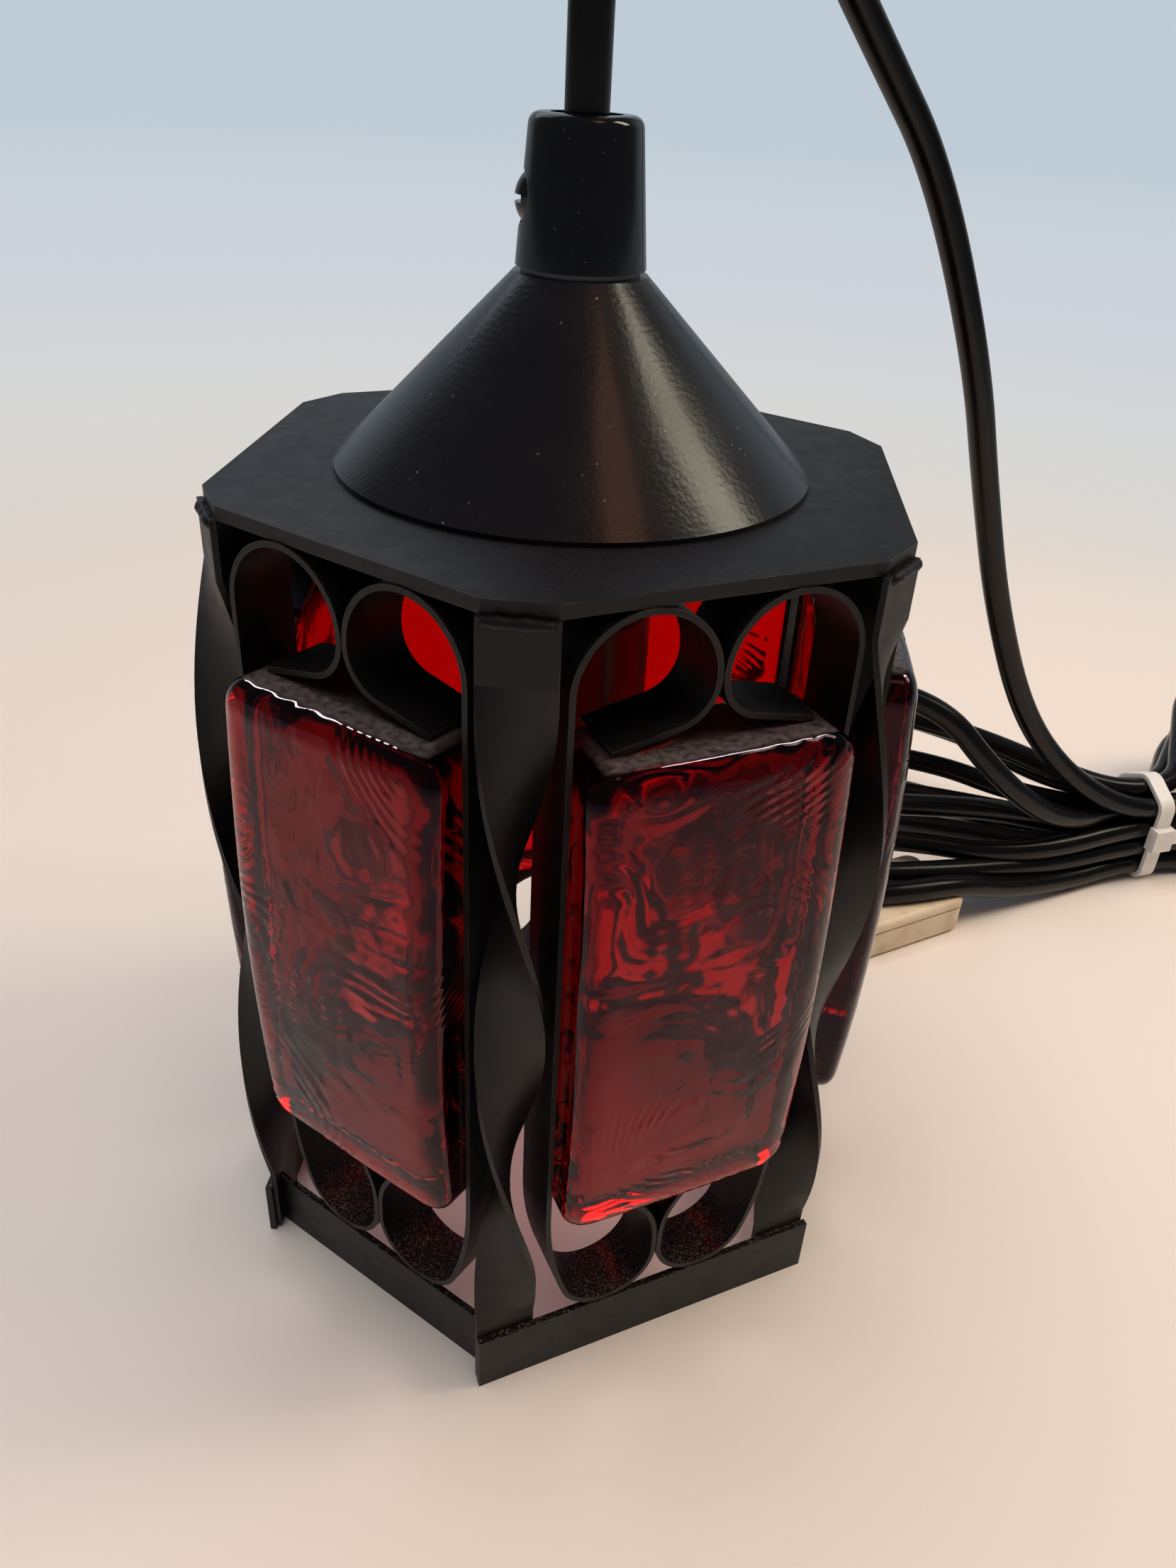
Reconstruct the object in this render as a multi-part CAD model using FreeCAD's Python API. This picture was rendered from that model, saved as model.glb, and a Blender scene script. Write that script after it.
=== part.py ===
import FreeCAD, Part
import math
import os

# Hexagonal pendant lantern: a cage of flat iron strips with six cast glass blocks, a plate and a
# spun cone on top, a cord grip, a small lamp holder inside, and its cable tied up in a hank.
# Millimetres, +Z up. The origin is on the lantern's axis, in the plane that the ring stands on.
# Side k faces (60 k - 60) degrees from +X, and corner k lies between sides k - 1 and k.

# ---- cage -----------------------------------------------------------------------------------
side_count = 6
cage_height = 147.7            # top face of the plate
plate_across_flats = 100.0
plate_corner_cut = 2.7         # taken off each corner
plate_thickness = 2.0
ring_overhang = 0.5            # outer faces of the ring bars beyond the plate's edges
bar_height = 12.0
bar_thickness = 1.2
strip_width = 10.4             # flat strip that the twisted corners and the scrolls are made of
strip_thickness = 0.9
foot_clearance = 0.8           # table to the end of a twisted strip
strip_lip = 0.85               # the twisted strips stand this far outside the cut-off corners
strip_shift = 0.6              # every other corner strip is this much nearer to its long bar
straight_top = 9.0             # untwisted length under the plate
straight_foot = 15.0           # untwisted length at the ring
full_twist = 360.0
corner_turn = 30.0             # from facing outwards to lying along a ring bar
twist_step = 15.0              # between two sections of a twisted strip
leg_gap = 0.25                 # between a twisted strip and the scroll leg beside it

# ---- scrolls --------------------------------------------------------------------------------
scroll_edge_back = 0.2         # ring's outer face to the scroll's outer edge
scroll_touch_gap = 0.1         # half the gap between two scrolls at the middle of a side
top_tip_distance = 15.4        # middle of the side to the cut tip over the glass
top_tip_slope = 12.5           # degrees, the tip leans down to the glass
top_curl_radius = 6.6          # between the tip and the loop's inner side
top_straight = 0.35            # inner side of the top loop
bottom_sweep_radius = 60.0     # where the leg starts to lean inwards
bottom_sweep_turn = 20.0
bottom_straight = 3.0          # inner side of the bottom loop
bottom_seat_radius = 14.77     # where it turns in under the glass
bottom_tip_flat = 2.0          # flat length that carries the glass

# ---- glass, as high and wide as the scrolls leave room for ----------------------------------
glass_side_gap = 0.2           # glass to each scroll leg
glass_back_set = 0.1           # its back face in front of the scrolls' back edges
glass_thickness = 15.6         # at the rim
glass_crown = 2.4              # how far the front face bulges
glass_corner_radius = 5.0
glass_front_radius = 3.0
glass_back_radius = 1.2

# ---- cone, nipple and cord grip -------------------------------------------------------------
cone_base_radius = 36.4
cone_top_radius = 9.7
cone_height = 27.7
cone_wall = 0.8
cone_lip = 0.7                 # height of the upright rim at the base
thread_gap = 0.05              # radial, for everything that screws on the nipple
nipple_radius = 5.0
nipple_bore = 3.6
nut_across_flats = 14.0
nut_thickness = 3.0
washer_radius = 8.6
washer_thickness = 0.8
grip_base_radius = 9.4
grip_top_radius = 7.8
grip_height = 19.1
grip_thread_depth = 6.0        # six turns of a 1 mm pitch
grip_top_round = 1.6
grip_recess_radius = 5.0
grip_recess_depth = 1.6
cable_clearance = 0.3          # radial, round the cable in the grip

# ---- grip screw -----------------------------------------------------------------------------
screw_azimuth = 188.0          # degrees from +X
screw_drop = 10.6              # top of the grip to the screw's axis
screw_head_radius = 3.7
screw_head_height = 2.0
screw_shank_radius = 2.0
screw_fit = 0.05
screw_tip_gap = 0.25           # screw tip to cable
screw_slot_width = 1.0
screw_slot_depth = 0.9
screw_seat_gap = 0.1
screw_seat_bite = 0.9          # grip's wall to the flat under the head

# ---- lamp holder ----------------------------------------------------------------------------
holder_radius = 14.0
holder_wall = 1.8
holder_neck_radius = 7.6
holder_neck_length = 6.0
holder_dome_height = 7.5
holder_rim_height = 4.0        # straight part at the cap's mouth
holder_dome_knee = (1.4, 3.2)  # where the dome turns in: inwards and up from its foot
holder_neck_flare = (1.6, 0.8) # out and down from the neck's foot
holder_skirt_edge = 0.5        # bevel round the skirt's end
holder_flange_height = 2.0     # skirt's inner flange that carries the core
holder_skirt_length = 27.0
holder_spigot_length = 2.0
holder_gap = 0.3               # between the skirt's ends and what they face
holder_fit = 0.08              # radial, skirt in cap
core_shoulder = 3.2            # width of the cap's inner shoulder that the core bears on
core_lap = 1.6                 # of the core's flange on that shoulder
core_wall = 1.6                # round the thread shell
core_flange_height = 2.2
core_length = 21.0
socket_radius = 7.05           # inside of the thread shell
socket_length = 17.0
shell_wall = 0.4
socket_floor = 2.4             # core left above the shell
contact_radius = 2.2
contact_height = 1.6           # set into the core, flush with the shell's top
terminal_distance = 5.6        # axis to each terminal screw
terminal_radius = 1.9
terminal_height = 2.6
terminal_slot = (0.6, 0.7)     # width and depth
wire_radius = 0.9
wire_distance = 1.5            # axis to each wire in the nipple

# ---- cable, hank, tie and plug --------------------------------------------------------------
cable_diameter = 6.2
cable_join_height = 1.6        # the free cable starts this far below the top of the grip
arc_share = 0.45               # of the shorter run, on each side of a bend
free_route = [
    (0, 0, 218), (5.5, 5, 237), (14, 18.5, 249.5), (23, 37.5, 251.5), (30, 56, 241.5),
    (33, 68.5, 221), (46, 77, 204.5), (61, 84.5, 185.5), (77, 89.5, 149.5), (87, 98.5, 119),
    (98, 105.5, 87.5), (113, 111, 55.5), (131, 115, 35.5),
]
hank_middle = (158.5, 131.5)   # on the table, where the tie holds it
hank_turn = 22.0               # direction of the bundle there, from +X
strand_pitch = 6.4             # between two strands in a column
far_column = 3.1               # bundle's middle line to each of its three columns
middle_column = -2.5
front_column = -8.1
column_count = 4               # strands in each column
waist_length = 20.0
lobe_step = 3.0                # a lobe starts this much lower than the top of the tie
left_lobe = {"turn": 187.0, "reach": 126.0, "width": 84.0, "rise": 32.0, "rope": 17.5, "knee": 80.0}
right_lobe = {"turn": 31.5, "reach": 91.0, "width": 66.0, "rise": 14.0, "rope": 16.0, "knee": 60.0}
tie_width = 4.6
tie_thickness = 1.3
tie_head = (6.4, 9.0, 7.0)     # along the bundle, out, and up
tie_head_proud = 3.4           # of the front column
tie_tail = (15.0, 1.2, 4.0)    # cut end of the strap, along the bundle from the head
tie_tail_set = 1.0             # tail behind the head's face, and into the head
tie_head_height = 12.0
plug_middle = (83.0, 88.0)
plug_angle = 33.2
plug_size = (36.0, 24.0, 11.0)
plug_corner_radius = 4.0
plug_edge_radius = 1.6
plug_groove = 0.6              # width and depth of the line round the plug
plug_groove_height = 7.9
pin_radius = 2.0
pin_length = 19.0
pin_spacing = 18.6
pin_tip_round = 0.8

# ---- sizes that follow ----------------------------------------------------------------------
side_step = 360.0 / side_count
half_angle = math.radians(side_step / 2)
plate_bottom = cage_height - plate_thickness
plate_corner_distance = plate_across_flats / 2 / math.cos(half_angle) - plate_corner_cut
ring_outer = plate_across_flats / 2 + ring_overhang
ring_inner = ring_outer - bar_thickness
foot_middle = ring_inner - strip_thickness / 2       # apothem of a foot's middle plane
strip_top_radius = plate_corner_distance + strip_lip - strip_thickness / 2
foot_offset = foot_middle * math.tan(half_angle)     # middle of the side to a foot
bar_reach = foot_offset + strip_width / 2            # half length of a long bar
bundle_lift = tie_thickness + cable_diameter / 2     # table to the lowest strand's middle
bundle_height = bundle_lift + column_count * strand_pitch + tie_thickness
strip_reach = strip_width / 2 + strip_shift * math.cos(half_angle)
leg_outer = strip_top_radius * math.sin(half_angle) - strip_reach - leg_gap
leg_middle = leg_outer - strip_thickness / 2
scroll_outer = ring_outer - scroll_edge_back
scroll_inner_side = strip_thickness / 2 + scroll_touch_gap
glass_back_distance = scroll_outer - strip_width + glass_back_set
glass_half_width = leg_outer - strip_thickness - glass_side_gap
tip_slope, sweep = math.radians(top_tip_slope), math.radians(bottom_sweep_turn)
loop_radius = (leg_middle - scroll_inner_side) / 2
loop_middle = plate_bottom - strip_thickness / 2 - loop_radius
curl_end = loop_middle - top_straight
curl_reach = top_curl_radius * (1 - math.sin(tip_slope))
tip_length = (top_tip_distance - scroll_inner_side - curl_reach) / math.cos(tip_slope)
tip_middle = curl_end - tip_length * math.sin(tip_slope) - top_curl_radius * math.cos(tip_slope)
glass_top = tip_middle - strip_thickness / 2 * math.cos(tip_slope)
bowl_radius = (leg_middle - scroll_inner_side - bottom_sweep_radius * (1 - math.cos(sweep))) \
    / (1 + math.cos(sweep))
sweep_end = bar_height + strip_thickness / 2 + bowl_radius * (1 - math.sin(sweep))
leg_bottom = sweep_end + bottom_sweep_radius * math.sin(sweep)
seat_end = sweep_end + bowl_radius * math.sin(sweep) + bottom_straight + bottom_seat_radius
glass_seat = seat_end + strip_thickness / 2
glass_height = glass_top - glass_seat
cable_radius = cable_diameter / 2
cone_top = cage_height + cone_height
grip_base = cone_top + washer_thickness
grip_top = grip_base + grip_height
nipple_top = grip_base + grip_thread_depth
cable_join = grip_top - cable_join_height
screw_height = grip_top - screw_drop
holder_top = plate_bottom - nut_thickness
holder_mouth = holder_top - holder_neck_length - holder_dome_height - holder_rim_height
shoulder_height = holder_mouth + holder_spigot_length + holder_gap
core_top = shoulder_height
skirt_top = holder_mouth
skirt_bottom = skirt_top - holder_skirt_length
nipple_bottom = holder_top - holder_neck_length
shell_top = core_top - socket_floor - core_flange_height


def vec(x, y, z=0.0):
    return FreeCAD.Vector(x, y, z)


def turned(shape, degrees, about=vec(0, 0)):
    copy = shape.copy()
    copy.rotate(about, vec(0, 0, 1), degrees)
    return copy


def side_angle(side):
    return (side - 1) * side_step


def prism(points, bottom, height):
    """An upright prism on an outline of (x, y) points."""
    corners = [vec(x, y, bottom) for x, y in points]
    return Part.Face(Part.makePolygon(corners + corners[:1])).extrude(vec(0, 0, height))


def revolved(profile):
    """A closed outline of (radius, height) points turned about the Z axis."""
    points = [vec(r, 0, z) for r, z in profile]
    return Part.Face(Part.makePolygon(points + points[:1])).revolve(vec(0, 0), vec(0, 0, 1), 360)


def cylinder(radius, bottom, top, x=0.0, y=0.0):
    return Part.makeCylinder(radius, top - bottom, vec(x, y, bottom))


def save(name, *solids):
    shape = solids[0] if len(solids) == 1 else Part.makeCompound(list(solids))
    shape.exportStep(f"parts/{name}.step")
    print(f"{name}: {len(shape.Solids)} solid(s), {shape.Volume:.1f} mm3, valid {shape.isValid()}")


# ---- plate and ring -------------------------------------------------------------------------
def top_plate():
    half_cut = plate_corner_cut / math.tan(half_angle)
    outline = []
    for corner in range(side_count):
        a = math.radians(side_angle(corner) - side_step / 2)
        for along in (-half_cut, half_cut):
            outline.append((plate_corner_distance * math.cos(a) - along * math.sin(a),
                            plate_corner_distance * math.sin(a) + along * math.cos(a)))
    hole = cylinder(nipple_radius + thread_gap, plate_bottom - 1, cage_height + 1)
    return prism(outline, plate_bottom, plate_thickness).cut(hole)


def long_bar():
    return Part.makeBox(bar_thickness, 2 * bar_reach, bar_height, vec(ring_inner, -bar_reach, 0))


def short_bar():
    """Its slanting ends stand against the feet inside the two long bars beside it."""
    def end(apothem):
        return (ring_inner - strip_thickness - apothem * math.cos(2 * half_angle)) \
            / math.sin(2 * half_angle)
    outline = [(ring_inner, -end(ring_inner)), (ring_outer, -end(ring_outer)),
               (ring_outer, end(ring_outer)), (ring_inner, end(ring_inner))]
    return prism(outline, 0, bar_height)


# ---- twisted corner strips ------------------------------------------------------------------
def strip_section(height, turn, shift):
    """Section of a corner strip on the +X line, turned about its own middle."""
    foot_radius = (foot_middle - shift * math.sin(half_angle)) / math.cos(half_angle)
    share = (plate_bottom - straight_top - height) / (plate_bottom - straight_top - straight_foot)
    middle = strip_top_radius + max(0, min(share, 1)) * (foot_radius - strip_top_radius)
    a = math.radians(turn)
    across, along = (math.cos(a), math.sin(a)), (-math.sin(a), math.cos(a))
    corners = []
    for i, j in ((-1, -1), (1, -1), (1, 1), (-1, 1)):
        t, w = i * strip_thickness / 2, j * strip_width / 2
        corners.append(vec(middle + t * across[0] + w * along[0],
                           t * across[1] + w * along[1] - shift, height))
    return Part.makePolygon(corners + corners[:1])


def twisted_strip(twist, shift):
    top, low = plate_bottom - straight_top, straight_foot
    steps = round(twist / twist_step)
    sections = [strip_section(top + (low - top) * i / steps, twist * i / steps, shift)
                for i in range(steps + 1)]
    pieces = [
        Part.makeLoft([strip_section(plate_bottom, 0, shift), sections[0]], True, True),
        Part.makeLoft(sections, True, False),
        Part.makeLoft([sections[-1], strip_section(foot_clearance, twist, shift)], True, True),
    ]
    return pieces[0].fuse(pieces[1:])


# ---- scroll strips --------------------------------------------------------------------------
def bent_strip(start, heading, moves, thickness):
    """Side view of a bent strip, as a face in the YZ plane. A move is ("line", length) or
    ("bend", radius, degrees), and every bend turns to the right."""
    def at(point, direction, offset):
        a = math.radians(direction)
        return vec(0, point[0] - offset * math.sin(a), point[1] + offset * math.cos(a))

    point, sides = start, {thickness / 2: [], -thickness / 2: []}
    for move in moves:
        a = math.radians(heading)
        if move[0] == "line":
            end = (point[0] + move[1] * math.cos(a), point[1] + move[1] * math.sin(a))
            for offset, edges in sides.items():
                edges.append(Part.LineSegment(at(point, heading, offset), at(end, heading, offset)))
            point = end
            continue
        radius, turn = move[1:]
        centre = (point[0] + radius * math.sin(a), point[1] - radius * math.cos(a))

        def on_arc(share):
            b = math.radians(heading - share * turn)
            return centre[0] - radius * math.sin(b), centre[1] + radius * math.cos(b)
        for offset, edges in sides.items():
            edges.append(Part.Arc(*[at(on_arc(s), heading - s * turn, offset) for s in (0, 0.5, 1)]))
        point, heading = on_arc(1), heading - turn
    left, right = ([e.toShape() for e in edges] for edges in sides.values())
    ends = [Part.LineSegment(left[-1].lastVertex().Point, right[-1].lastVertex().Point).toShape(),
            Part.LineSegment(right[0].firstVertex().Point, left[0].firstVertex().Point).toShape()]
    return Part.Face(Part.Wire(Part.__sortEdges__(left + right + ends)))


def scroll_strip():
    """A scroll right of the middle of its side, from its top tip to its bottom tip."""
    face = bent_strip((top_tip_distance, tip_middle), 180 - top_tip_slope, [
        ("line", tip_length),
        ("bend", top_curl_radius, 90 - top_tip_slope),
        ("line", top_straight),
        ("bend", loop_radius, 180),
        ("line", loop_middle - leg_bottom),
        ("bend", bottom_sweep_radius, bottom_sweep_turn),
        ("bend", bowl_radius, 180 - bottom_sweep_turn),
        ("line", bottom_straight),
        ("bend", bottom_seat_radius, 90),
        ("line", bottom_tip_flat),
    ], strip_thickness)
    solid = face.extrude(vec(strip_width, 0, 0))
    solid.translate(vec(scroll_outer - strip_width, 0, 0))
    return solid


# ---- glass ----------------------------------------------------------------------------------
def glass_block():
    """Back face flat, front face part of a large ball."""
    rim = glass_back_distance + glass_thickness
    front = rim + glass_crown
    middle = glass_seat + glass_height / 2
    half_diagonal = math.hypot(glass_half_width, glass_height / 2)
    ball_radius = (half_diagonal ** 2 + glass_crown ** 2) / (2 * glass_crown)
    block = Part.makeBox(front - glass_back_distance, 2 * glass_half_width, glass_height,
                         vec(glass_back_distance, -glass_half_width, glass_seat))
    upright = [e for e in block.Edges
               if abs(e.tangentAt(e.FirstParameter).x) > 0.9]
    block = block.makeFillet(glass_corner_radius, upright)
    ball = Part.makeSphere(ball_radius, vec(front - ball_radius, 0, middle))
    block = block.common(ball)
    for face_at_front, radius in ((True, glass_front_radius), (False, glass_back_radius)):
        edges = [e for e in block.Edges
                 if (e.BoundBox.XMin > glass_back_distance + glass_thickness / 2) == face_at_front
                 and e.BoundBox.XLength < glass_thickness / 2]
        block = block.makeFillet(radius, edges)
    return block


# ---- cone, nipple, nuts and cord grip -------------------------------------------------------
def cone_cap():
    run = cone_base_radius - cone_top_radius
    slant = math.hypot(run, cone_height - cone_lip)
    inset = cone_wall * slant / (cone_height - cone_lip)   # wall measured level
    hole = nipple_radius + thread_gap
    return revolved([
        (cone_base_radius, cage_height),
        (cone_base_radius, cage_height + cone_lip),
        (cone_top_radius, cone_top),
        (hole, cone_top),
        (hole, cone_top - cone_wall),
        (cone_top_radius - inset + cone_wall * run / (cone_height - cone_lip),
         cone_top - cone_wall),
        (cone_base_radius - inset, cage_height + cone_lip),
        (cone_base_radius - inset, cage_height),
    ])


def hex_nut(bottom):
    corner = nut_across_flats / 2 / math.cos(math.pi / 6)
    outline = [(corner * math.cos(math.radians(60 * i)), corner * math.sin(math.radians(60 * i)))
               for i in range(6)]
    return prism(outline, bottom, nut_thickness).cut(
        cylinder(nipple_radius + thread_gap, bottom - 1, bottom + nut_thickness + 1))


def screw_line():
    a = math.radians(screw_azimuth)
    return vec(math.cos(a), math.sin(a), 0)


def grip_radius_at(height):
    share = (height - grip_base) / grip_height
    return grip_base_radius + share * (grip_top_radius - grip_base_radius)


def screw_seat_distance():
    """Axis to the flat that the screw head comes down on, inside the grip's tapered wall."""
    return grip_radius_at(screw_height + screw_head_radius) - screw_seat_bite


def cord_grip():
    body = revolved([(0, grip_base), (grip_base_radius, grip_base), (grip_top_radius, grip_top),
                     (0, grip_top)])
    body = body.makeFillet(grip_top_round, [e for e in body.Edges
                                            if e.BoundBox.ZMin > grip_top - 0.01
                                            and len(e.Vertexes) == 1])
    out, seat = screw_line(), screw_seat_distance()
    level = vec(0, 0, screw_height)
    cuts = [
        cylinder(nipple_radius + thread_gap, grip_base - 1, nipple_top),
        cylinder(cable_radius + cable_clearance, grip_base, grip_top + 1),
        cylinder(grip_recess_radius, grip_top - grip_recess_depth, grip_top + 1),
        Part.makeCylinder(screw_shank_radius + screw_fit, grip_base_radius + 2, level, out),
        Part.makeCylinder(screw_head_radius + screw_seat_gap, grip_base_radius,
                          level + out * seat, out),
    ]
    for cut in cuts:
        body = body.cut(cut)
    return body


def grip_screw():
    tip = cable_radius + screw_tip_gap
    seat = screw_seat_distance() + screw_seat_gap
    crown = (screw_head_radius ** 2 + screw_head_height ** 2) / (2 * screw_head_height)
    head = Part.makeSphere(crown, vec(0, 0, seat + screw_head_height - crown)).common(
        cylinder(screw_head_radius, seat, seat + screw_head_height + 1))
    screw = head.fuse(cylinder(screw_shank_radius, tip, seat + screw_head_height / 2))
    slot_floor = seat + screw_head_height - screw_slot_depth
    screw = screw.cut(Part.makeBox(screw_slot_width, 2 * crown, crown,
                                   vec(-screw_slot_width / 2, -crown, slot_floor)))
    screw.rotate(vec(0, 0), vec(0, 1, 0), 90)
    screw.translate(vec(0, 0, screw_height))
    return turned(screw, screw_azimuth)


# ---- lamp holder ----------------------------------------------------------------------------
def holder_cap():
    dome_base = nipple_bottom - holder_dome_height
    inside = holder_radius - holder_wall
    bore = nipple_radius + thread_gap
    shoulder = inside - core_shoulder
    knee_in, knee_up = holder_dome_knee
    flare_out, flare_down = holder_neck_flare
    return revolved([
        (holder_radius, holder_mouth), (holder_radius, dome_base),
        (holder_radius - knee_in, dome_base + knee_up),
        (holder_neck_radius + flare_out, nipple_bottom - flare_down),
        (holder_neck_radius, nipple_bottom + flare_down), (holder_neck_radius, holder_top),
        (bore, holder_top), (bore, nipple_bottom - holder_wall / 2),
        (shoulder, dome_base + holder_wall / 2), (shoulder, shoulder_height),
        (inside, shoulder_height), (inside, holder_mouth),
    ])


def holder_skirt():
    inside = holder_radius - holder_wall
    spigot, spigot_top = inside - holder_fit, skirt_top + holder_spigot_length - holder_gap
    flange_bore = inside - core_shoulder + core_lap
    flange_foot = skirt_top - holder_flange_height
    return revolved([
        (inside, skirt_bottom), (holder_radius - holder_skirt_edge, skirt_bottom),
        (holder_radius, skirt_bottom + holder_skirt_edge), (holder_radius, skirt_top - holder_gap),
        (spigot, skirt_top - holder_gap), (spigot, spigot_top), (flange_bore, spigot_top),
        (flange_bore, flange_foot), (inside, flange_foot - core_lap),
    ])


def holder_core():
    flange = holder_radius - holder_wall - core_shoulder + core_lap - holder_gap
    body = cylinder(socket_radius + shell_wall + core_wall, core_top - core_length, core_top)
    body = body.fuse(cylinder(flange, core_top - core_flange_height, core_top))
    body = body.cut(cylinder(socket_radius + shell_wall, core_top - core_length - 1, shell_top))
    return body.cut(centre_contact())


def thread_shell():
    return cylinder(socket_radius + shell_wall, shell_top - socket_length, shell_top).cut(
        cylinder(socket_radius, shell_top - socket_length - 1, shell_top + 1))


def centre_contact():
    return cylinder(contact_radius, shell_top, shell_top + contact_height)


def terminal_screw(sign):
    top = core_top + terminal_height
    body = cylinder(terminal_radius, core_top, top, sign * terminal_distance)
    wide, deep = terminal_slot
    slot = Part.makeBox(2 * terminal_radius, wide, deep, vec(
        sign * terminal_distance - terminal_radius, -wide / 2, top - deep))
    return body.cut(slot)


def lead_wire(sign):
    """From the end of the cable's sheath out to the side of a terminal."""
    start = vec(sign * wire_distance, 0, nipple_bottom)
    turn = vec(sign * wire_distance, 0, core_top + terminal_height / 2)
    level = Part.makeCylinder(wire_radius, terminal_distance - terminal_radius - wire_distance,
                              turn, vec(sign, 0, 0))
    upright = Part.makeCylinder(wire_radius, start.z - turn.z, turn)
    return upright.fuse([level, Part.makeSphere(wire_radius, turn)])


# ---- cable ----------------------------------------------------------------------------------
def cable_tube(name, points):
    """Straight runs joined by the largest tangent arcs that they allow."""
    points = [vec(*p) for p in points]
    edges, last, radii = [], points[0], []
    for before, corner, after in zip(points, points[1:], points[2:]):
        back, on = (before - corner), (after - corner)
        turn = math.pi - back.getAngle(on)
        trim = arc_share * min(back.Length, on.Length)
        radii.append(trim / math.tan(turn / 2))
        back.normalize()
        on.normalize()
        start, end = corner + back * trim, corner + on * trim
        inward = back + on
        inward.normalize()
        reach = math.hypot(radii[-1], trim) - radii[-1]
        edges += [Part.LineSegment(last, start), Part.Arc(start, corner + inward * reach, end)]
        last = end
    edges.append(Part.LineSegment(last, points[-1]))
    path = Part.Wire([e.toShape() for e in edges])
    first = points[1] - points[0]
    ring = Part.Wire(Part.makeCircle(cable_radius, points[0], first))
    tube = path.makePipeShell([ring], True, False)
    plain = math.pi * cable_radius ** 2 * path.Length
    print(f"{name}: length {path.Length:.1f}, volume {tube.Volume:.1f} of {plain:.1f}, radii",
          [round(r, 1) for r in radii])
    return tube


def hank_frame(shape, turn):
    """From the hank's own frame, its bundle along +X, to where the tie holds it."""
    shape.rotate(vec(0, 0), vec(0, 0, 1), turn)
    shape.translate(vec(*hank_middle))
    return shape


def drop(point, middle, radius):
    """A teardrop face along the X axis: two lines from its point, tangent to a round end."""
    half = math.asin(radius / (middle - point))
    touch = [vec(middle - radius * math.sin(half), side * radius * math.cos(half), 0)
             for side in (-1, 1)]
    tip, end = vec(point, 0, 0), vec(middle + radius, 0, 0)
    edges = [Part.LineSegment(tip, touch[0]), Part.Arc(touch[0], end, touch[1]),
             Part.LineSegment(touch[1], tip)]
    return Part.Face(Part.Wire([e.toShape() for e in edges]))


def lobe(shape):
    """One end of the hank: a teardrop ring that rises from the tie as far as its knee."""
    reach, radius, rope = shape["reach"], shape["width"] / 2, shape["rope"]
    middle, tall = reach - radius, bundle_height + shape["rise"]
    ring = drop(0, middle, radius).extrude(vec(0, 0, tall))
    hole = drop(middle * rope / radius, middle, radius - rope).extrude(vec(0, 0, tall))
    side_view = Part.Face(Part.makePolygon([
        vec(0, -radius, 0), vec(reach, -radius, 0), vec(reach, -radius, tall),
        vec(shape["knee"], -radius, tall), vec(0, -radius, bundle_height - lobe_step),
        vec(0, -radius, 0)]))
    ring = ring.cut(hole).common(side_view.extrude(vec(0, 2 * radius, 0)))
    return hank_frame(ring, shape["turn"])


def cleared(shape):
    """The shape without what lies in the tie's width, where only the bundle goes through."""
    wide, tall = left_lobe["width"], bundle_height + left_lobe["rise"]
    slab = Part.makeBox(tie_width, wide, tall, vec(-tie_width / 2, -wide / 2, 0))
    return shape.cut(hank_frame(slab, hank_turn))


def bundle(length, grow):
    """The strands under the tie as one solid, larger by grow all round."""
    def strand(across, step):
        return vec(-length / 2, across, bundle_lift + step * strand_pitch)
    last = column_count - 1
    outline = [strand(far_column, 0), strand(far_column, last), strand(middle_column, last + 0.5),
               strand(front_column, last), strand(front_column, 0), strand(far_column, 0)]
    wire = Part.makePolygon(outline).makeOffset2D(cable_diameter / 2 + grow)
    return hank_frame(Part.Face(wire).extrude(vec(length, 0, 0)), hank_turn)


def plug_frame(shape):
    """From the plug's own frame, pins towards +Y, to where it lies."""
    shape.rotate(vec(0, 0), vec(0, 0, 1), plug_angle)
    shape.translate(vec(*plug_middle))
    return shape


def plug_body():
    long, deep, high = plug_size
    body = Part.makeBox(long, deep, high, vec(-long / 2, -deep / 2, 0))
    upright = [e for e in body.Edges if abs(e.tangentAt(e.FirstParameter).z) > 0.9]
    body = body.makeFillet(plug_corner_radius, upright)
    level = [e for e in body.Edges if e.BoundBox.ZLength < 0.01]
    body = body.makeFillet(plug_edge_radius, level)
    groove = Part.makeBox(long, deep, plug_groove, vec(-long / 2, -deep / 2, plug_groove_height))
    core = Part.makeBox(long - 2 * plug_groove, deep - 2 * plug_groove, plug_groove, vec(
        -long / 2 + plug_groove, -deep / 2 + plug_groove, plug_groove_height))
    return plug_frame(body.cut(groove.cut(core)))


def plug_pin(sign):
    pin = Part.makeCylinder(pin_radius, pin_length,
                            vec(sign * pin_spacing / 2, plug_size[1] / 2, plug_size[2] / 2),
                            vec(0, 1, 0))
    tip = [e for e in pin.Edges if e.BoundBox.YMin > plug_size[1] / 2 + pin_length - 0.01]
    return plug_frame(pin.makeFillet(pin_tip_round, tip))


def cable_tie():
    along, out, up = tie_head
    face = front_column - cable_diameter / 2
    head = Part.makeBox(along, out, up, vec(-along / 2, face - tie_head_proud, tie_head_height))
    tail_along, tail_out, tail_up = tie_tail
    tail = Part.makeBox(tail_along, tail_out, tail_up, vec(
        along / 2 - tie_tail_set, face - tie_head_proud + tie_tail_set,
        tie_head_height + (up - tail_up) / 2))
    strap = bundle(tie_width, tie_thickness).fuse(hank_frame(head.fuse(tail), hank_turn))
    return strap.cut(bundle(waist_length, 0))


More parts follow.
